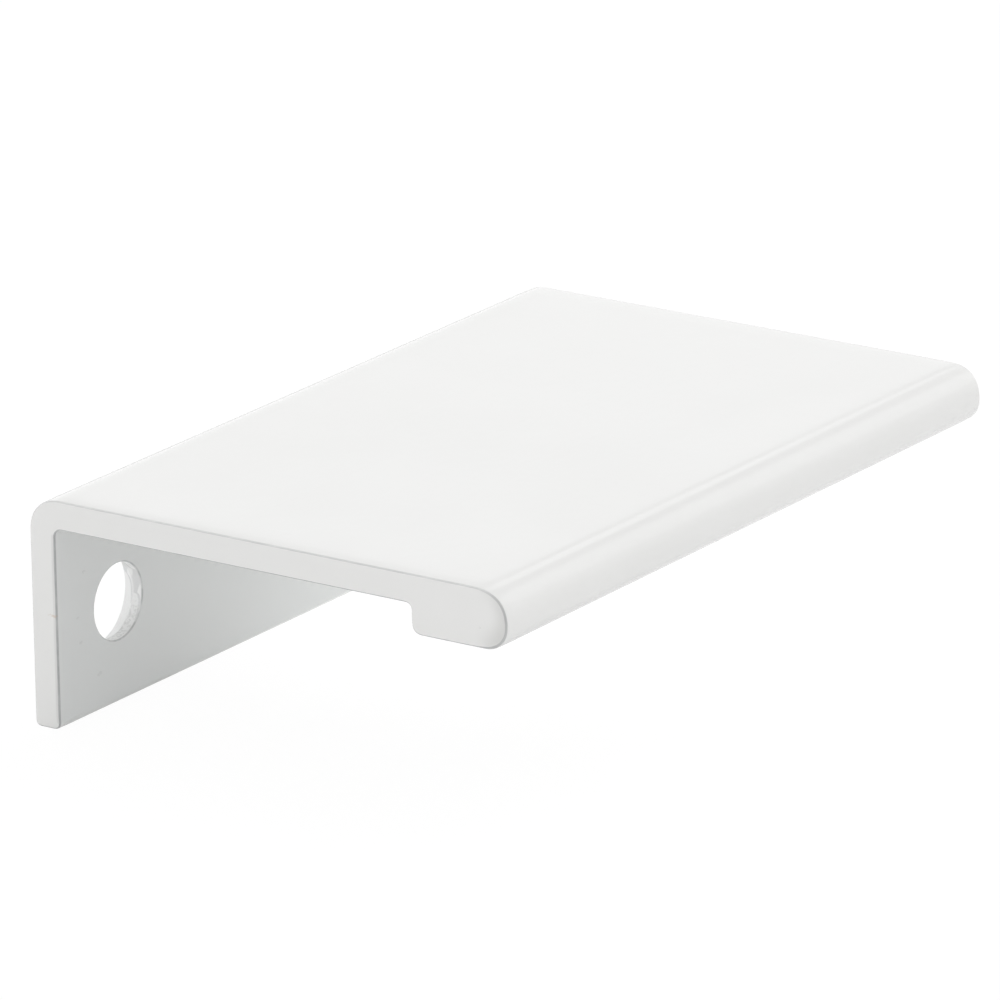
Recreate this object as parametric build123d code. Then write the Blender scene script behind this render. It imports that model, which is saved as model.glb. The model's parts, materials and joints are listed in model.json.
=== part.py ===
from build123d import *
import os

# Edge pull: one aluminium extrusion, with a flat plate on top, a flange
# that hangs down at the back and a thick rounded grip along the front.
# X runs along the pull, -Y is the front, +Z is up. The origin is the middle of the
# screw pattern, on the flange face that lies against the back of the door.

# Overall sizes, in millimetres
length = 57.0
depth = 38.0
wall = 2.0
flange_height = 15.95

# Rounds of the section
back_radius = 2.2
inner_radius = 0.45
foot_radius = 0.3
grip_root_radius = 0.4
grip_corner_radius = 0.65

# Grip along the front: two rounds with a narrow flat between them
nose_top_radius = 2.0
nose_flat = 0.35
nose_under_radius = 1.7
grip_depth = 7.5

# Screw holes through the flange, opened out behind for the screw heads
hole_diameter = 5.3
hole_inset = 6.75
hole_drop = 8.9
hole_land = 0.8
head_diameter = 6.8

# Softened edge around both cut ends
end_arris = 0.18

# Heights, measured from the middle of the screw holes
top = hole_drop
underside = top - wall
foot = top - flange_height
grip_under = top - nose_top_radius - nose_flat - nose_under_radius

# Places from front to back, measured from the door face of the flange
door_face = 0.0
back_face = door_face + wall
nose_tip = back_face - depth
grip_back = nose_tip + grip_depth

# Each corner of the section with the radius of its round
corners = [
    ((back_face, foot), foot_radius),
    ((back_face, top), back_radius),
    ((nose_tip, top), nose_top_radius),
    ((nose_tip, grip_under), nose_under_radius),
    ((grip_back, grip_under), grip_corner_radius),
    ((grip_back, underside), grip_root_radius),
    ((door_face, underside), inner_radius),
    ((door_face, foot), foot_radius),
]

with BuildPart() as pull:
    # The section, drawn sharp and then rounded corner by corner
    with BuildSketch(Plane.YZ) as section:
        with BuildLine():
            Polyline([place for place, radius in corners], close=True)
        make_face()
        for (y, z), radius in corners:
            fillet(section.vertices().sort_by_distance((y, z))[0], radius)
    extrude(amount=length / 2, both=True)

    # Both cut ends have their sharp edge taken off
    ends = pull.faces().filter_by(GeomType.PLANE).sort_by(Axis.X)
    fillet(ends[0].edges() + ends[-1].edges(), end_arris)

    # One screw hole near each end of the flange
    hole_x = length / 2 - hole_inset
    with Locations((-hole_x, back_face, 0), (hole_x, back_face, 0)):
        Cylinder(hole_diameter / 2, 3 * wall, rotation=(90, 0, 0), mode=Mode.SUBTRACT)

    # A taper from the land at the door face out to the head's diameter at the back
    taper_start = door_face + hole_land
    with Locations((-hole_x, taper_start, 0), (hole_x, taper_start, 0)):
        Cone(
            hole_diameter / 2,
            head_diameter / 2,
            back_face - taper_start,
            rotation=(-90, 0, 0),
            align=(Align.CENTER, Align.CENTER, Align.MIN),
            mode=Mode.SUBTRACT,
        )

os.makedirs("parts", exist_ok=True)
export_step(pull.part, "parts/edge_pull.step")
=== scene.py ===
# %% [markdown]
# # Edge pull
# A white painted pull that hooks over the top edge of a door or drawer front: a flat plate, a drilled
# flange behind the door and a thick rounded grip in front. It is one aluminium extrusion, cut to
# length, drilled and painted. The CAD part holds its solid. This lesson makes the painted surface that
# is seen, in the same frame: X along the pull, -Y to the front, +Z up, in metres.

# %% Load the frame
import bpy
import json
import math
from mathutils import Matrix, Vector


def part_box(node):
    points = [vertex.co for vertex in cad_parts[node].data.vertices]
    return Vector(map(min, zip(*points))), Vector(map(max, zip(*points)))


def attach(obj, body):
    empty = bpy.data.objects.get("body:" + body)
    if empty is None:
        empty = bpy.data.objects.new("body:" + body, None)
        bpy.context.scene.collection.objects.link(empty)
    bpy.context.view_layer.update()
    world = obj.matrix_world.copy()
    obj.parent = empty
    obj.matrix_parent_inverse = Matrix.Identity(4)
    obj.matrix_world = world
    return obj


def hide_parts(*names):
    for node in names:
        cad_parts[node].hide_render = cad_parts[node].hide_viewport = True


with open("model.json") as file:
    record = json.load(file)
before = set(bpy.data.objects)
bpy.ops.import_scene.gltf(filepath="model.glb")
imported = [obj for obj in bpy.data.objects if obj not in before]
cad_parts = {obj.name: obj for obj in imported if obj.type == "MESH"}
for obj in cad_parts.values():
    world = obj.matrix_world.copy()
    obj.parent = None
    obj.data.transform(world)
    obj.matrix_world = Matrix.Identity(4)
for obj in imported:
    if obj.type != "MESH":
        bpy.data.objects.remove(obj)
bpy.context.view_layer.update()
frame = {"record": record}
low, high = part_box("edge_pull")
mounts = {mount["name"]: mount for mount in frame["record"]["mounts"]}
MM = 0.001
print("CAD box, mm:", [round(v / MM, 2) for v in (*low, *high)])

# %% [markdown]
# ## The section
# An extrusion is one flat outline pushed through a die, so everything about it but the length is in
# that outline. It could be put together from bevelled boxes, but an outline that is drawn sharp, with a
# radius at each corner, is how the die is drawn too, and each round stays one number. The large sizes
# come from the CAD box and the mounts. The rounds are the die's own.

# %% Sizes of the section
length = high.x - low.x
back_face, nose_tip = high.y, low.y
top, foot = high.z, low.z
door_face = mounts["flange_face"]["pos_m"][1]
underside = mounts["plate_underside"]["pos_m"][2]
wall = top - underside
grip_thickness, grip_depth = 4.05 * MM, 7.50 * MM
grip_under = top - grip_thickness
grip_back = nose_tip + grip_depth
print("wall %.2f mm, grip %.2f mm thick" % (wall / MM, grip_thickness / MM))

# %% Corners and their rounds
back_radius, inner_radius = 2.20 * MM, 0.45 * MM
nose_top_radius, nose_under_radius = 2.00 * MM, 1.70 * MM
grip_corner_radius, grip_root_radius = 0.65 * MM, 0.40 * MM
foot_radius = 0.30 * MM
corners = [
    ((back_face, foot), foot_radius),
    ((back_face, top), back_radius),
    ((nose_tip, top), nose_top_radius),
    ((nose_tip, grip_under), nose_under_radius),
    ((grip_back, grip_under), grip_corner_radius),
    ((grip_back, underside), grip_root_radius),
    ((door_face, underside), inner_radius),
    ((door_face, foot), foot_radius),
]
print("corners of the section:", len(corners))

# %% [markdown]
# ## The spine of the section and the hole
# Where the saw cut the ends, the edge is drawn in a little under the paint. A bevel would do on a plain
# block, but on this section its width would differ from corner to corner. So every point of the outline
# is led inwards to a spine that runs along the middle of the metal. The screw hole is drawn the way the
# section is, as its half outline: a short straight land at the door face, then a taper for the head.

# %% Spine
grip_middle = (top + grip_under) / 2
plate_middle = top - wall / 2
flange_middle = back_face - wall / 2
nose_inset, bend_start, bend_end = 2.0 * MM, 1.8 * MM, 0.6 * MM
spine = [
    (nose_tip + nose_inset, grip_middle),
    (grip_back - bend_start, grip_middle),
    (grip_back + bend_end, plate_middle),
    (flange_middle, plate_middle),
    (flange_middle, foot + wall / 2),
]
print("spine points:", len(spine))

# %% Hole outline
hole_radius = mounts["screw_holes"]["dims"]["hole_r_mm"] * MM
hole_spacing = mounts["screw_holes"]["dims"]["spacing_x_mm"] * MM
head_radius, hole_land = 3.40 * MM, 0.80 * MM
rim_round, land_round, head_round = 0.12 * MM, 0.25 * MM, 0.15 * MM
clear, lift = 0.5 * MM, 0.02 * MM
hole = [
    ((door_face - wall, hole_radius + clear), 0.0),
    ((door_face - lift, hole_radius + clear), 0.0),
    ((door_face, hole_radius), rim_round),
    ((door_face + hole_land, hole_radius), land_round),
    ((back_face, head_radius), head_round),
    ((back_face + lift, head_radius + clear), 0.0),
    ((back_face + wall, head_radius + clear), 0.0),
]
print("two holes %.1f mm apart, %.2f mm wide" % (hole_spacing / MM, 2 * hole_radius / MM))

# %% [markdown]
# ## One sketch for all three outlines
# The three outlines could be three curve objects. One small mesh of edges is simpler to hand to a node
# tree: two numbers on each point say which outline it belongs to and how much it is rounded. The sketch
# lies in its own XY plane. Its x is the part's Y and its y is the part's Z, so the length runs along the
# sketch's z until the last step turns it over.

# %% Draw the sketch
SECTION, SPINE, HOLE = 0, 1, 2


def draw_sketch(name, outlines):
    points, edges, kinds, rounds = [], [], [], []
    for kind, path, closed in outlines:
        first = len(points)
        for (x, y), radius in path:
            points.append((x, y, 0.0))
            kinds.append(kind)
            rounds.append(radius)
        last = len(points) - 1
        edges += [(i, i + 1) for i in range(first, last)]
        edges += [(last, first)] if closed else []
    mesh = bpy.data.meshes.new(name)
    mesh.from_pydata(points, edges, [])
    mesh.attributes.new("outline", "INT", "POINT").data.foreach_set("value", kinds)
    mesh.attributes.new("round", "FLOAT", "POINT").data.foreach_set("value", rounds)
    sketch = bpy.data.objects.new(name, mesh)
    bpy.context.scene.collection.objects.link(sketch)
    return sketch


pull = draw_sketch(
    "painted_edge_pull",
    [(SECTION, corners, True), (SPINE, [(p, 0.0) for p in spine], False), (HOLE, hole, False)],
)
print("sketch points:", len(pull.data.vertices))

# %% [markdown]
# ## Short ways to build a node tree
# The surface, its paint and the studio are all node trees. They could be wired node by node, but that
# hides the idea under the wiring. A small helper class adds a node, fills its inputs by name, and writes
# arithmetic in one line.


# %% Node tree helper
class Tree:
    def __init__(self, tree):
        self.tree = tree

    def tell(self, step):
        print(step + ":", len(self.tree.nodes), "nodes so far")

    def put(self, socket, value):
        if isinstance(value, bpy.types.NodeSocket):
            self.tree.links.new(value, socket)
        else:
            socket.default_value = value

    def node(self, kind, inputs=(), **settings):
        made = self.tree.nodes.new(kind)
        for key, value in settings.items():
            setattr(made, key, value)
        for key, value in dict(inputs).items():
            self.put(made.inputs[key], value)
        return made

    def calc(self, operation, *values):
        made = self.node("ShaderNodeMath", enumerate(values), operation=operation)
        return made.outputs[0]

    def times(self, first, *others):
        product = first
        for value in others:
            product = self.calc("MULTIPLY", product, value)
        return product

    def vector(self, operation, *values):
        made = self.node("ShaderNodeVectorMath", enumerate(values), operation=operation)
        return made.outputs["Value" if operation in ("LENGTH", "DISTANCE") else "Vector"]

    def scaled(self, vector, amount):
        inputs = {"Vector": vector, "Scale": amount}
        return self.node("ShaderNodeVectorMath", inputs, operation="SCALE").outputs["Vector"]

    def xyz(self, x=0.0, y=0.0, z=0.0):
        return self.node("ShaderNodeCombineXYZ", {"X": x, "Y": y, "Z": z}).outputs["Vector"]

    def parts(self, vector):
        return self.node("ShaderNodeSeparateXYZ", {"Vector": vector}).outputs

    def ramp(self, value, start, end, low=0.0, high=1.0):
        inputs = {"Value": value, "From Min": start, "From Max": end, "To Min": low, "To Max": high}
        return self.node("ShaderNodeMapRange", inputs, interpolation_type="SMOOTHSTEP").outputs["Result"]

    def mix(self, share, first, second):
        return self.node("ShaderNodeMix", {0: share, 6: first, 7: second}, data_type="RGBA").outputs[2]


print("helpers:", [name for name in vars(Tree) if not name.startswith("_")])

# %% [markdown]
# ## A tree of rules
# The surface follows from the sketch by rule, so it is made with geometry nodes. The tree's inputs are
# the sizes that a painter or a saw would change: how far the cut edge is rounded over, how wide the soft
# bead of paint behind it is, how fine the mesh gets.

# %% Inputs of the tree
form = Tree(bpy.data.node_groups.new("painted extrusion", "GeometryNodeTree"))
SOCKETS = [
    ("Sketch", "NodeSocketGeometry", None),
    ("Length", "NodeSocketFloat", length),
    ("Point spacing", "NodeSocketFloat", 0.10 * MM),
    ("Easing steps", "NodeSocketInt", 4),
    ("Nose easing steps", "NodeSocketInt", 30),
    ("Edge reach along", "NodeSocketFloat", 0.45 * MM),
    ("Edge reach inward", "NodeSocketFloat", 0.80 * MM),
    ("Edge squareness", "NodeSocketFloat", 14.0),
    ("Bead width", "NodeSocketFloat", 1.50 * MM),
    ("Bead drop", "NodeSocketFloat", 0.045 * MM),
    ("Rings per edge", "NodeSocketInt", 17),
    ("Rings per bead", "NodeSocketInt", 7),
    ("Rings between", "NodeSocketInt", 11),
    ("Hole spacing", "NodeSocketFloat", hole_spacing),
    ("Paint", "NodeSocketMaterial", None),
]
for name, kind, default in SOCKETS:
    socket = form.tree.interface.new_socket(name, in_out="INPUT", socket_type=kind)
    if default is not None:
        socket.default_value = default
form.tree.interface.new_socket("Surface", in_out="OUTPUT", socket_type="NodeSocketGeometry")
given = form.node("NodeGroupInput").outputs
print("named inputs:", [name for name, kind, default in SOCKETS])

# %% [markdown]
# ## Round the section
# Each corner takes its radius and the outline is divided evenly. Plain arcs would start their curve all
# at once, which gloss shows as a hard line. A few easing steps let it come on gradually, as a flowing
# coat of paint does. The upper nose gets many more of them: its reflections show that it starts to turn
# well before the round itself. The lower nose stays close to its plain arc.

# %% Rounded outlines
CORNER_POINTS = 24
position = form.node("GeometryNodeInputPosition").outputs["Position"]


def named(name, kind="FLOAT"):
    read = form.node("GeometryNodeInputNamedAttribute", {"Name": name}, data_type=kind)
    return read.outputs["Attribute"]


def outline_of(kind):
    compared = {2: named("outline", "INT"), 3: kind}
    chosen = form.node("FunctionNodeCompare", compared, data_type="INT", operation="EQUAL")
    inputs = {"Geometry": given["Sketch"], "Selection": chosen.outputs[0]}
    return form.node("GeometryNodeSeparateGeometry", inputs).outputs["Selection"]


def rounded(outline):
    curve = form.node("GeometryNodeMeshToCurve", {"Mesh": outline}).outputs["Curve"]
    inputs = {"Curve": curve, "Count": CORNER_POINTS, "Radius": named("round")}
    return form.node("GeometryNodeFilletCurve", inputs, mode="POLY").outputs["Curve"]


inputs = {"Curve": rounded(outline_of(SECTION)), "Length": given["Point spacing"]}
even = form.node("GeometryNodeResampleCurve", inputs, mode="LENGTH").outputs["Curve"]
form.tell("rounded section")


# %% Ease the rounds
def moved(geometry, goal):
    inputs = {"Geometry": geometry, "Position": goal}
    return form.node("GeometryNodeSetPosition", inputs).outputs["Geometry"]


def eased(curve, steps, weight):
    inputs = {"Value": position, "Iterations": steps, "Weight": weight}
    blurred = form.node("GeometryNodeBlurAttribute", inputs, data_type="FLOAT_VECTOR")
    return moved(curve, blurred.outputs["Value"])


NOSE_PART = (nose_tip + 6.3 * MM, nose_tip + 5.5 * MM)
UPPER_PART = (grip_middle - 0.8 * MM, grip_middle + 0.4 * MM)
on_sketch = form.parts(position)
upper_nose = form.times(form.ramp(on_sketch["X"], *NOSE_PART), form.ramp(on_sketch["Y"], *UPPER_PART))
section = eased(eased(even, given["Easing steps"], 1.0), given["Nose easing steps"], upper_nose)
form.tell("eased section")

# %% [markdown]
# ## Draw the section out along its length
# Curve to Mesh would sweep the section, but it gives no say over what happens at the ends. Here a flat
# grid of points, once round the section and ring by ring along the pull, is laid on the section. At each
# end the rings start on the end face, turn tightly over the cut edge in a squarish quarter curve, cross
# the bead of paint behind the edge and run on along the plain length.

# %% Rings along the pull
calc = form.calc
HALF_STEP = 0.5  # keeps the divisions of the index clear of rounding
counted = form.node("GeometryNodeAttributeDomainSize", {"Geometry": section}, component="CURVE")
around = counted.outputs["Point Count"]
edge_rings, bead_rings = given["Rings per edge"], given["Rings per bead"]
end_rings = calc("ADD", edge_rings, bead_rings)
rings = calc("ADD", calc("MULTIPLY", end_rings, 2), given["Rings between"])
inputs = {"Vertices X": calc("ADD", around, 1), "Vertices Y": rings}
grid = form.node("GeometryNodeMeshGrid", inputs).outputs["Mesh"]
index = calc("ADD", form.node("GeometryNodeInputIndex").outputs["Index"], HALF_STEP)
place = calc("MODULO", calc("FLOOR", calc("DIVIDE", index, rings)), around)
ring = calc("FLOOR", calc("MODULO", index, rings))
middle_ring = calc("DIVIDE", calc("SUBTRACT", rings, 1), 2)
from_middle = calc("SUBTRACT", ring, middle_ring)
side = calc("SIGN", from_middle)
from_end = calc("SUBTRACT", middle_ring, calc("ABSOLUTE", from_middle))
form.tell("rings")

# %% The squarish curve over the cut edge
last_edge_ring = calc("SUBTRACT", edge_rings, 1)
turn = calc("MULTIPLY", calc("MINIMUM", calc("DIVIDE", from_end, last_edge_ring), 1.0), math.pi / 2)
power = calc("DIVIDE", 2.0, given["Edge squareness"])
on_length = calc("POWER", calc("MAXIMUM", calc("COSINE", turn), 0.0), power)
on_face = calc("POWER", calc("MAXIMUM", calc("SINE", turn), 0.0), power)
edge_along = calc("MULTIPLY", given["Edge reach along"], calc("SUBTRACT", 1.0, on_length))
edge_inward = calc("MULTIPLY", given["Edge reach inward"], calc("SUBTRACT", 1.0, on_face))
form.tell("cut edge")

# %% The bead behind the edge and the plain length
BEAD_PROFILE = 1.4
past_edge = calc("MAXIMUM", calc("SUBTRACT", from_end, last_edge_ring), 0.0)
bead_step = calc("MINIMUM", calc("DIVIDE", past_edge, bead_rings), 1.0)
bead_run = calc("SUBTRACT", given["Bead width"], given["Edge reach along"])
from_plane = calc("ADD", edge_along, calc("MULTIPLY", bead_step, bead_run))
past_bead = calc("MAXIMUM", calc("SUBTRACT", past_edge, bead_rings), 0.0)
plain_rings = calc("DIVIDE", calc("ADD", given["Rings between"], 1), 2)
plain_step = calc("SUBTRACT", 1.0, calc("DIVIDE", past_bead, plain_rings))
half_length = calc("DIVIDE", given["Length"], 2)
along = calc("MULTIPLY", side, calc("MULTIPLY", calc("SUBTRACT", half_length, from_plane), plain_step))
into_bead = calc("SUBTRACT", 1.0, calc("DIVIDE", from_plane, given["Bead width"]))
beside_end = calc("POWER", calc("MAXIMUM", into_bead, 0.0), BEAD_PROFILE)
form.tell("bead and length")

# %% [markdown]
# ## Lay the grid on the section
# The bead formed on the sides that were sprayed, from above and from the front, so it matters which way
# each side of the section faces. The outline's own tangent tells that. Every point is then led inwards
# towards the spine, by the cut edge and the bead together.


# %% Which way each side of the section faces
def on_section(field):
    inputs = {"Geometry": section, "Value": field, "Index": place}
    sample = form.node("GeometryNodeSampleIndex", inputs, data_type="FLOAT_VECTOR", domain="POINT")
    return sample.outputs["Value"]


def facing(part):
    return calc("MAXIMUM", calc("MULTIPLY", part, -1.0), 0.0)


own_tangent = form.node("GeometryNodeInputTangent").outputs["Tangent"]
tangent = form.parts(on_section(own_tangent))
faces_front, faces_up = facing(tangent["Y"]), facing(tangent["X"])
faces_down = calc("MAXIMUM", tangent["X"], 0.0)
form.tell("facing")

# %% Surface without its ends
SPINE_LIMIT = 0.85
sprayed = calc("MAXIMUM", faces_front, faces_up)
bead = form.times(given["Bead drop"], sprayed, beside_end)
inputs = {"Geometry": outline_of(SPINE)}
nearest = form.node("GeometryNodeProximity", inputs, target_element="EDGES").outputs["Position"]


def led_inward(start, goal, amount):
    path = form.vector("SUBTRACT", goal, start)
    limit = calc("MULTIPLY", form.vector("LENGTH", path), SPINE_LIMIT)
    step = form.scaled(form.vector("NORMALIZE", path), calc("MINIMUM", amount, limit))
    return form.vector("ADD", start, step)


flat = led_inward(on_section(position), on_section(nearest), calc("ADD", edge_inward, bead))
tube = moved(grid, form.vector("ADD", flat, form.xyz(z=along)))
form.tell("surface without ends")

# %% [markdown]
# ## Where the paint is thin, and where shade is painted
# Paint pulls away from a sharp edge, so the cut edges show as fine grey lines. A pointiness mask would
# find every edge alike. Two numbers on each point tell more: where it lies across a cut edge, from 0 on
# the long faces over 0.5 on the edge to 1 on the end face, and how much painted shade that side of the
# section gets. The front and lower edges get the most.

# %% Marks for the paint
MIDDLE_OF_EDGE = 0.5
UNDER_SHARE = 0.95
ON_TOP_AND_BACK = 0.38
past_arris = calc("DIVIDE", calc("SUBTRACT", edge_inward, from_plane), given["Edge reach inward"])
across = calc("MULTIPLY_ADD", past_arris, MIDDLE_OF_EDGE, MIDDLE_OF_EDGE)
edge = calc("MINIMUM", calc("MAXIMUM", across, 0.0), 1.0)
# Painted shade: the front and lower sides get the full weight, which darkens their edge lines and the end
# face beside the front edges.
front_and_under_sides = calc("MAXIMUM", faces_front, calc("MULTIPLY", faces_down, UNDER_SHARE))
thin = calc("MULTIPLY_ADD", front_and_under_sides, 1.0 - ON_TOP_AND_BACK, ON_TOP_AND_BACK)


def stored(geometry, name, value):
    inputs = {"Geometry": geometry, "Name": name, "Value": value}
    return form.node("GeometryNodeStoreNamedAttribute", inputs).outputs["Geometry"]


tube = stored(stored(tube, "edge", edge), "thin", thin)
form.tell("marks")

# %% [markdown]
# ## Close both ends
# What is left of each end face inside the last ring is filled flat. The last ring is made again from the
# section, so that the filling meets the tube point for point and the two can be welded.

# %% End faces
WELD = 0.0005 * MM
own = form.parts(own_tangent)
own_sprayed = calc("MAXIMUM", calc("MULTIPLY", own["Y"], -1.0), calc("MULTIPLY", own["X"], -1.0))
own_drop = calc("MULTIPLY", given["Bead drop"], calc("MAXIMUM", own_sprayed, 0.0))
inner = moved(section, led_inward(position, nearest, calc("ADD", given["Edge reach inward"], own_drop)))
filled = form.node("GeometryNodeFillCurve", {"Curve": inner}, mode="NGONS").outputs["Mesh"]
cap = stored(filled, "edge", 1.0)
turned = form.node("GeometryNodeFlipFaces", {"Mesh": cap}).outputs["Mesh"]
joined = form.node("GeometryNodeJoinGeometry", {"Geometry": tube})
for mesh, end in ((cap, half_length), (turned, calc("MULTIPLY", half_length, -1.0))):
    inputs = {"Geometry": mesh, "Translation": form.xyz(z=end)}
    form.put(joined.inputs["Geometry"], form.node("GeometryNodeTransform", inputs).outputs["Geometry"])
inputs = {"Geometry": joined.outputs["Geometry"], "Distance": WELD}
solid = form.node("GeometryNodeMergeByDistance", inputs).outputs["Geometry"]
form.tell("closed ends")

# %% [markdown]
# ## Screw holes
# The hole's half outline is rounded like the section and turned about its own axis. The same cutter is
# set at both ends of the screw pattern and taken out of the flange. A boolean is right here, because
# the hole meets a flat face and its rim has its own round.

# %% Hole cutters
HOLE_SIDES = 128
on_profile = form.parts(position)
axis = moved(stored(rounded(outline_of(HOLE)), "bore", on_profile["Y"]), form.xyz(x=on_profile["X"]))
inputs = {"Resolution": HOLE_SIDES, "Radius": 1.0}
circle = form.node("GeometryNodeCurvePrimitiveCircle", inputs).outputs["Curve"]
inputs = {"Curve": axis, "Profile Curve": circle, "Scale": named("bore"), "Fill Caps": True}
cutter = form.node("GeometryNodeCurveToMesh", inputs).outputs["Mesh"]
first_screw = form.xyz(z=calc("DIVIDE", given["Hole spacing"], -2))
inputs = {"Count": 2, "Start Location": first_screw, "Offset": form.xyz(z=given["Hole spacing"])}
screw_points = form.node("GeometryNodeMeshLine", inputs).outputs["Mesh"]
inputs = {"Points": screw_points, "Instance": cutter}
cutters = form.node("GeometryNodeInstanceOnPoints", inputs).outputs["Instances"]
real_cutters = form.node("GeometryNodeRealizeInstances", {"Geometry": cutters}).outputs["Geometry"]
inputs = {"Mesh 1": solid, "Mesh 2": real_cutters}
drilled = form.node("GeometryNodeMeshBoolean", inputs, operation="DIFFERENCE", solver="EXACT")
form.tell("drilled")

# %% [markdown]
# ## Turn the piece into the part's frame
# The sketch's z becomes the part's X, its x the part's Y and its y the part's Z. Turning the points, not
# the object, leaves the finished object at the origin, where its patterns stay in place.

# %% Finish the tree
turned_over = form.xyz(x=on_profile["Z"], y=on_profile["X"], z=on_profile["Y"])
in_frame = moved(drilled.outputs["Mesh"], turned_over)
smooth = form.node("GeometryNodeSetShadeSmooth", {"Geometry": in_frame}).outputs["Geometry"]
real = form.node("GeometryNodeRealizeInstances", {"Geometry": smooth}).outputs["Geometry"]
inputs = {"Geometry": real, "Material": given["Paint"]}
painted = form.node("GeometryNodeSetMaterial", inputs).outputs["Geometry"]
form.node("NodeGroupOutput", {"Surface": painted})
form.tell("finished form")

# %% [markdown]
# ## White gloss paint
# The finish is a smooth white gloss. One flat colour would look like plastic: real paint has a faint
# orange peel, the die leaves fine lines along the extrusion, and the sheen varies a little. Images could
# hold that, but noise in the object's own coordinates, counted in millimetres, fits every face.

# %% Paint: peel, die lines and sheen
paint = bpy.data.materials.new("white_gloss_paint")
paint.use_nodes = True
coat = Tree(paint.node_tree)
shader = paint.node_tree.nodes["Principled BSDF"]
at = coat.scaled(coat.node("ShaderNodeTexCoord").outputs["Object"], 1 / MM)
spot = coat.parts(at)


def noise(vector, scale, detail=2.0):
    inputs = {"Vector": vector, "Scale": scale, "Detail": detail}
    return coat.node("ShaderNodeTexNoise", inputs).outputs[0]


PEEL_SCALE, SHEEN_SCALE = 0.8, 0.15
DIE_STRETCH, DIE_DETAIL = (0.03, 1.6, 1.6), 3.0
peel, sheen = noise(at, PEEL_SCALE), noise(at, SHEEN_SCALE)
die_lines = noise(coat.vector("MULTIPLY", at, DIE_STRETCH), 1.0, DIE_DETAIL)
coat.tell("peel, die lines and sheen")

# %% [markdown]
# ## Screw holes in the paint
# The wall of a hole got only a dull coat and is painted a little lighter, as painted light, and low on the
# land it stayed mottled. The rim, like the cut edges, shows a fine grey line. All of it is found from the
# distance to the hole's axis, so both holes get it from the same few nodes.

# %% Paint: holes
RIM_FADE, RIM_SCALE, RIM_BREAKS = (0.13, 0.04), 1.1, (0.35, 0.6, 0.35, 1.0)
from_middle_of_hole = coat.calc("SUBTRACT", coat.calc("ABSOLUTE", spot["X"]), hole_spacing / MM / 2)
from_axis = coat.vector("LENGTH", coat.xyz(x=from_middle_of_hole, z=spot["Z"]))
past_radius = coat.calc("SUBTRACT", from_axis, hole_radius / MM)
from_rim = coat.vector("LENGTH", coat.xyz(x=past_radius, y=spot["Y"]))
rim = coat.times(coat.ramp(from_rim, *RIM_FADE), coat.ramp(noise(at, RIM_SCALE), *RIM_BREAKS))

HOLE_REACH = (head_radius / MM + 0.2, head_radius / MM + 0.05)
HOLE_MOUTH = (0.05, 0.2)
in_hole = coat.times(coat.ramp(from_axis, *HOLE_REACH), coat.ramp(spot["Y"], *HOLE_MOUTH))

LOW_IN_HOLE, ON_LAND = (0.0, -1.4), (1.0, 0.75, 0.3, 1.0)
MOTTLE_SCALE, MOTTLE_DETAIL, MOTTLE_BREAKS = 5.0, 4.0, (0.45, 0.62)
low_on_land = coat.times(coat.ramp(spot["Z"], *LOW_IN_HOLE), coat.ramp(spot["Y"], *ON_LAND))
patches = coat.ramp(noise(at, MOTTLE_SCALE, MOTTLE_DETAIL), *MOTTLE_BREAKS)
mottle = coat.times(in_hole, low_on_land, patches)
coat.tell("holes")

# %% [markdown]
# ## Small marks
# The pull carries a few small marks: scuffs on the flange face, a fleck on the end of the grip and a tan
# speck on the end of the flange. Each could be a decal, but a decal needs an image. Each is a ragged
# spot, so one node group draws the spot and is placed at each.

# %% A ragged spot
RAGGED_SCALE, RAGGED_DETAIL, RAGGED_AMOUNT, SPOT_FADE = 5.0, 3.0, 3.0, (0.9, 0.4)
MEAN_NOISE = 0.5
spot_group = bpy.data.node_groups.new("ragged spot", "ShaderNodeTree")
for name in ("At", "Centre", "Size"):
    spot_group.interface.new_socket(name, in_out="INPUT", socket_type="NodeSocketVector")
spot_group.interface.new_socket("Mask", in_out="OUTPUT", socket_type="NodeSocketFloat")
ragged = Tree(spot_group)
asked = ragged.node("NodeGroupInput").outputs
inputs = {"Vector": asked["At"], "Scale": RAGGED_SCALE, "Detail": RAGGED_DETAIL}
wobble = ragged.node("ShaderNodeTexNoise", inputs).outputs[0]
offset = ragged.vector("SUBTRACT", asked["At"], asked["Centre"])
reach = ragged.vector("LENGTH", ragged.vector("DIVIDE", offset, asked["Size"]))
uneven = ragged.calc("MULTIPLY_ADD", ragged.calc("SUBTRACT", wobble, MEAN_NOISE), RAGGED_AMOUNT, reach)
ragged.node("NodeGroupOutput", {"Mask": ragged.ramp(uneven, *SPOT_FADE)})
ragged.tell("ragged spot")

# %% Paint: places of the marks
near_end = -length / MM / 2
nose = nose_tip / MM
SCUFFS = [
    ((near_end + 3.1, 0.0, 3.1), (0.26, 0.2, 0.12)),
    ((near_end + 2.3, 0.0, 0.1), (0.22, 0.2, 0.10)),
    ((near_end + 2.5, 0.0, -1.7), (0.24, 0.2, 0.14)),
    ((near_end + 4.5, 0.0, -4.4), (0.34, 0.2, 0.16)),
]
FLECK = ((near_end, nose + 2.2, 6.2), (0.2, 0.16, 0.10))
SPECK = ((near_end, 0.26, 0.85), (0.2, 0.34, 0.12))


def ragged_spot(centre, size):
    inputs = {"At": at, "Centre": centre, "Size": size}
    return coat.node("ShaderNodeGroup", inputs, node_tree=spot_group).outputs["Mask"]


scuffs = ragged_spot(*FLECK)
for scuff in SCUFFS:
    scuffs = coat.calc("MAXIMUM", scuffs, ragged_spot(*scuff))
speck = ragged_spot(*SPECK)
coat.tell("marks")
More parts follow.
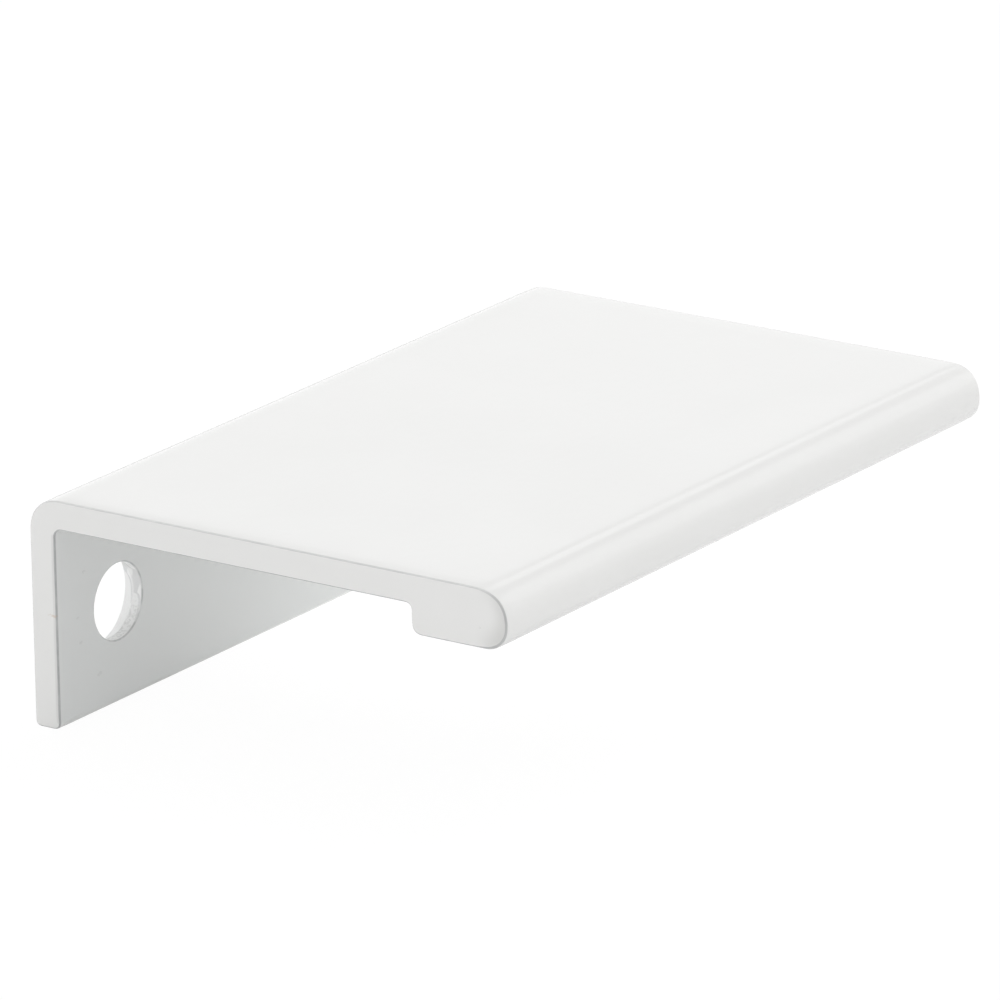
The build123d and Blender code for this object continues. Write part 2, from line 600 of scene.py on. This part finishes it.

# %% [markdown]
# ## Thin paint and painted shade on the cut edges
# Across each cut edge runs a fine line where the metal greys the paint, with painted shade that makes it
# darker on the front and lower edges. It is darker towards the nose and fainter on it, where it also sits
# a little further out on the end face. Beside the front edges, and round the nose, the end face gets a soft
# painted shade. Both read the numbers that the form stored on its points, so the lines stay on the edges
# whatever the section is.


# %% Paint: fine lines
def stored_value(name):
    return coat.node("ShaderNodeAttribute", attribute_name=name).outputs["Fac"]


LINE_START, LINE_END = (0.38, 0.43), (0.55, 0.53)
SHIFT_ON_NOSE = (nose + 3.0, nose + 1.0, 0.0, 0.085)
DARKER_TO_NOSE, FAINTER_ON_NOSE = (-2.0, nose + 6.0, 1.0, 1.25), (nose + 3.5, nose + 1.5, 1.0, 0.65)
across_edge, thin_coat = stored_value("edge"), stored_value("thin")
line_at = coat.calc("SUBTRACT", across_edge, coat.ramp(spot["Y"], *SHIFT_ON_NOSE))
line = coat.times(coat.ramp(line_at, *LINE_START), coat.ramp(line_at, *LINE_END))
strength_along = coat.times(coat.ramp(spot["Y"], *DARKER_TO_NOSE), coat.ramp(spot["Y"], *FAINTER_ON_NOSE))
# Thin paint and painted shade: the stored side weight darkens the lines on the front and lower edges.
cut_line = coat.times(line, thin_coat, strength_along)

BREAK_SCALE, BREAK_DETAIL, BREAKS = 0.7, 3.0, (0.25, 0.6, 0.65, 1.0)
RIM_SHARE = 0.8
broken = coat.ramp(noise(at, BREAK_SCALE, BREAK_DETAIL), *BREAKS)
bare_and_shaded_lines = coat.times(coat.calc("MAXIMUM", cut_line, coat.calc("MULTIPLY", rim, RIM_SHARE)), broken)
coat.tell("fine lines")

# %% Paint: shading beside the lines
# Painted shade: the end face darkens beside the front edges and round the nose.
FACE_FADE, EDGE_FADE, FRONT_EDGES = (1.0, 0.52), (0.45, 0.52), (0.97, 1.0, 0.0, 0.85)
shade_beside_line = coat.times(coat.ramp(across_edge, *FACE_FADE), coat.ramp(across_edge, *EDGE_FADE))
shade_beside_line = coat.times(shade_beside_line, coat.ramp(thin_coat, *FRONT_EDGES))

NOSE_CENTRE = (near_end, nose + 2.2, grip_middle / MM + 0.33)
IN_SECTION = (0.0, 1.0, 1.0)
NOSE_REACH, NOSE_FORWARD, ON_END_FACE = (0.6, 2.2, 0.0, 1.2), (nose + 2.8, nose + 0.6), (0.51, 0.54)
offset_from_nose = coat.vector("SUBTRACT", at, NOSE_CENTRE)
from_nose = coat.vector("LENGTH", coat.vector("MULTIPLY", offset_from_nose, IN_SECTION))
shade_on_nose = coat.times(coat.ramp(from_nose, *NOSE_REACH), coat.ramp(spot["Y"], *NOSE_FORWARD))
shade_on_nose = coat.times(shade_on_nose, coat.ramp(across_edge, *ON_END_FACE))
shaded = coat.calc("MAXIMUM", shade_beside_line, shade_on_nose)
coat.tell("shading")

# %% [markdown]
# ## Put the paint together
# The colour starts as a white with a slight drift. The painted light in the holes, the painted shade inside
# the hook, beside the front edges and round the nose, the lines and the marks are laid over it one by one,
# each with its share, like layers. Peel and die lines go to a bump of a few thousandths of a
# millimetre.

# %% Paint: colour
DRIFT_SCALE, DRIFT_SPAN = 0.06, (0.35, 0.65)
WHITE, WARM_WHITE = (0.876, 0.876, 0.866, 1.0), (0.862, 0.862, 0.851, 1.0)
# Painted light: the wall of each hole is coloured lighter than the rest.
HOLE_PAINTED_LIGHT, HOLE_MOTTLE = (0.945, 0.95, 0.945, 1.0), (0.66, 0.67, 0.66, 1.0)
HOOK_PAINTED_SHADE, SHADE = (0.817, 0.831, 0.825, 1.0), (0.40, 0.40, 0.38, 1.0)
BARE_AND_SHADED_EDGE, SCUFF_GREY = (0.30, 0.305, 0.32, 1.0), (0.45, 0.45, 0.45, 1.0)
SPECK_TAN = (0.56, 0.40, 0.28, 1.0)
# Painted shade: the inner face of the flange, under the plate, is coloured cooler and darker.
HOOK_FACE, HOOK_TOP = (0.06, 0.03), (underside / MM - 0.1, underside / MM - 0.4)
from_door_face = coat.calc("ABSOLUTE", spot["Y"])
hook_shade_mask = coat.times(coat.ramp(from_door_face, *HOOK_FACE), coat.ramp(spot["Z"], *HOOK_TOP))
drift = coat.ramp(noise(at, DRIFT_SCALE), *DRIFT_SPAN)
LAYERS = [
    (drift, 1.0, WHITE),
    (in_hole, 1.0, HOLE_PAINTED_LIGHT),
    (mottle, 0.5, HOLE_MOTTLE),
    (hook_shade_mask, 1.0, HOOK_PAINTED_SHADE),
    (shaded, 0.27, SHADE),
    (bare_and_shaded_lines, 0.7, BARE_AND_SHADED_EDGE),
    (scuffs, 0.14, SCUFF_GREY),
    (speck, 0.36, SPECK_TAN),
]
colour = WARM_WHITE
for mask, share, laid_over in LAYERS:
    colour = coat.mix(coat.times(mask, share), colour, laid_over)
coat.put(shader.inputs["Base Color"], colour)
coat.tell("colour")

# %% Paint: gloss and bump
BARE_DULLS, HOLE_DULLS = 0.15, 0.6
SHEEN_SPAN = (0.3, 0.7, 0.10, 0.15)
DIE_DEPTH, MOTTLE_DEPTH, SCUFF_DEPTH = 0.6, 2.0, -4.0
BUMP_HEIGHT = 0.004 * MM
gloss = coat.ramp(sheen, *SHEEN_SPAN)
for mask, amount in ((bare_and_shaded_lines, BARE_DULLS), (in_hole, HOLE_DULLS)):
    gloss = coat.calc("ADD", gloss, coat.times(mask, amount))
coat.put(shader.inputs["Roughness"], gloss)
relief = peel
for mask, depth in ((die_lines, DIE_DEPTH), (mottle, MOTTLE_DEPTH), (scuffs, SCUFF_DEPTH)):
    relief = coat.calc("ADD", relief, coat.times(mask, depth))
bump = coat.node("ShaderNodeBump", {"Height": relief, "Strength": 1.0, "Distance": BUMP_HEIGHT})
coat.put(shader.inputs["Normal"], bump.outputs["Normal"])
coat.tell("finished paint")

# %% [markdown]
# ## Make the surface
# The tree is set on the sketch, evaluated once and kept as a plain mesh, so nothing live is left on the
# piece. Normals weighted by face area keep the large faces flat next to their fine edges. The finished
# piece stands for the CAD part.

# %% From sketch to mesh
rule = pull.modifiers.new("painted extrusion", "NODES")
rule.node_group = form.tree
paint_input = next(item for item in form.tree.interface.items_tree if item.name == "Paint")
rule[paint_input.identifier] = paint
flat_faces = pull.modifiers.new("flat faces", "WEIGHTED_NORMAL")
flat_faces.keep_sharp = True
evaluated = pull.evaluated_get(bpy.context.evaluated_depsgraph_get())
surface = bpy.data.meshes.new_from_object(evaluated)
sketch_mesh = pull.data
pull.modifiers.clear()
pull.data = surface
bpy.data.meshes.remove(sketch_mesh)
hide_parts("edge_pull")
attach(pull, "root")
print("surface:", len(surface.vertices), "points,", len(surface.polygons), "faces")

# %% [markdown]
# ## Floor
# A plain pale table under the flange's foot. Camera and mirror rays see it mostly as white, and the rest
# of it keeps a faint shadow. It is a milky sheet with a lamp under the hook, a little to the far side, so
# some light also comes up from below. A lamp object there would show its own shape in the gloss.

# %% Pale floor
FLOOR_HALF = 2.0
FLOOR_GREY = (0.88, 0.88, 0.88, 1.0)
floor_corners = [(x * FLOOR_HALF, y * FLOOR_HALF, foot) for x, y in ((-1, -1), (1, -1), (1, 1), (-1, 1))]
mesh = bpy.data.meshes.new("floor")
mesh.from_pydata(floor_corners, [], [(0, 1, 2, 3)])
floor = bpy.data.objects.new("floor", mesh)
bpy.context.scene.collection.objects.link(floor)
pale = bpy.data.materials.new("pale_floor")
pale.use_nodes = True
matt = pale.node_tree.nodes["Principled BSDF"]
for key, value in (("Base Color", FLOOR_GREY), ("Roughness", 1.0), ("Specular IOR Level", 0.0)):
    matt.inputs[key].default_value = value
floor.data.materials.append(pale)
print("floor at %.2f mm" % (foot / MM))


# %% Light in the floor
def seen(tree, by_camera, by_mirror):
    path = tree.node("ShaderNodeLightPath").outputs
    mirror = tree.calc("MAXIMUM", path["Is Glossy Ray"], path["Is Transmission Ray"])
    return tree.calc("MAXIMUM", tree.times(path["Is Camera Ray"], by_camera), tree.times(mirror, by_mirror))


LAMP_PLACE, LAMP_GLOW = (11 * MM, -10 * MM, foot), (34 * MM, 4 * MM, 0.03, 0.45)
WHITE_LEVEL, CAMERA_SHARE, MIRROR_SHARE = 1.03, 0.92, 0.3
paper = Tree(pale.node_tree)
place_on_floor = paper.node("ShaderNodeTexCoord").outputs["Object"]
from_lamp = paper.vector("DISTANCE", place_on_floor, LAMP_PLACE)
paper.put(matt.inputs["Emission Strength"], paper.ramp(from_lamp, *LAMP_GLOW))
matt.inputs["Emission Color"].default_value = (1.0, 1.0, 1.0, 1.0)
white = paper.node("ShaderNodeEmission", {"Strength": WHITE_LEVEL})
inputs = {0: seen(paper, CAMERA_SHARE, MIRROR_SHARE), 1: matt.outputs[0], 2: white.outputs[0]}
mixed = paper.node("ShaderNodeMixShader", inputs)
paper.put(pale.node_tree.nodes["Material Output"].inputs["Surface"], mixed.outputs[0])
paper.tell("floor")

# %% [markdown]
# ## Studio
# A white tent: a bright backdrop stands all round up to about twenty degrees, darker to the front and to
# the right and brighter to the left, and a dimmer ceiling closes it, brighter to the right. An image of a
# studio would do the same, but not by number. The step between backdrop and ceiling is what draws the
# fine line along the nose of glossy paint. Below the floor the tent is dimmer, so that the underside is
# lit plainly if the floor is taken away. Soft panels overhead, in front and to the right add the rest.

# %% Tent
BACKDROP, FRONT_LOSS, LEFT_GAIN, RIGHT_LOSS = 1.45, 0.60, 0.50, 0.45
CEILING, RIGHT_GAIN = 0.10, 1.25
STEP, STEP_WIDTH = 0.345, 0.03
BELOW_FLOOR = (-0.10, -0.02, 0.45, 1.0)
SIDE_POWER, RIGHT_POWER = 2.0, 6.0
world = bpy.data.worlds.new("tent")
bpy.context.scene.world = world
world.use_nodes = True
tent = Tree(world.node_tree)
direction = tent.parts(tent.node("ShaderNodeTexCoord").outputs["Generated"])
rightward = tent.calc("MAXIMUM", direction["X"], 0.0)
frontness = tent.calc("POWER", tent.calc("MINIMUM", direction["Y"], 0.0), SIDE_POWER)
leftness = tent.calc("POWER", tent.calc("MINIMUM", direction["X"], 0.0), SIDE_POWER)
rightness = tent.calc("POWER", rightward, RIGHT_POWER)
backdrop = tent.calc("MULTIPLY_ADD", frontness, -FRONT_LOSS, BACKDROP)
backdrop = tent.calc("MULTIPLY_ADD", leftness, LEFT_GAIN, backdrop)
backdrop = tent.calc("MULTIPLY_ADD", rightness, -RIGHT_LOSS, backdrop)
backdrop = tent.times(backdrop, tent.ramp(direction["Z"], *BELOW_FLOOR))
ceiling = tent.calc("MULTIPLY_ADD", rightward, RIGHT_GAIN, CEILING)
above = tent.ramp(direction["Z"], STEP, STEP + STEP_WIDTH)
level = tent.calc("MULTIPLY_ADD", tent.calc("SUBTRACT", ceiling, backdrop), above, backdrop)
tent.tell("tent")

# %% Tent as the world's light
SEEN_WHITE, MIRRORED = 1.0, 0.6
background = world.node_tree.nodes["Background"]
background.inputs["Color"].default_value = (1.0, 1.0, 1.0, 1.0)
tent.put(background.inputs["Strength"], tent.calc("MAXIMUM", level, seen(tent, SEEN_WHITE, MIRRORED)))
tent.tell("world")

# %% Panels
PANEL_DISTANCE = 0.8
PANELS = [
    ("overhead", (0.0, 0.0, 1.0), 1.4, 1.4, 0.73),
    ("front", (0.0, -0.89, 0.45), 0.8, 0.2, 1.0),
    ("right front", (0.78, -0.36, 0.46), 0.35, 0.35, 0.58),
    ("right back", (0.78, 0.29, 0.555), 0.17, 0.17, 0.60),
]
for name, towards, width, height, radiance in PANELS:
    data = bpy.data.lights.new(name, "AREA")
    data.shape = "RECTANGLE"
    data.size, data.size_y = width, height
    data.energy = radiance * math.pi * width * height
    lamp = bpy.data.objects.new(name, data)
    lamp.location = Vector(towards).normalized() * PANEL_DISTANCE
    lamp.rotation_euler = Vector(towards).to_track_quat("Z", "Y").to_euler()
    bpy.context.scene.collection.objects.link(lamp)
    print("panel %s: %.2f W" % (name, data.energy))

# %% [markdown]
# ## Camera
# A long lens, some 64 cm away and 18 degrees above the pull, looks at the near end and the nose. A long
# lens keeps parallel edges nearly parallel. The camera also leans over by just under a degree.

# %% Long lens
AZIMUTH, ELEVATION, ROLL = math.radians(-55.327), math.radians(18.068), math.radians(-0.848)
LENS, SENSOR = 342.1, 36.0
DISTANCE = 636.81 * MM
AIM = Vector((0.153, -15.681, 3.686)) * MM
camera_data = bpy.data.cameras.new("camera")
camera_data.lens = LENS
camera_data.sensor_width = SENSOR
camera = bpy.data.objects.new("camera", camera_data)
bpy.context.scene.collection.objects.link(camera)
bpy.context.scene.camera = camera
flat_reach = math.cos(ELEVATION)
back = Vector((math.sin(AZIMUTH) * flat_reach, -math.cos(AZIMUTH) * flat_reach, math.sin(ELEVATION)))
level_right = Vector((0, 0, 1)).cross(back).normalized()
right = level_right * math.cos(ROLL) + back.cross(level_right) * math.sin(ROLL)
axes = Matrix((right, back.cross(right), back)).transposed()
camera.matrix_world = Matrix.Translation(AIM + back * DISTANCE) @ axes.to_4x4()
print("camera at, mm:", [round(v / MM, 1) for v in camera.matrix_world.translation])

# %% View
bpy.context.scene.view_settings.view_transform = "Standard"
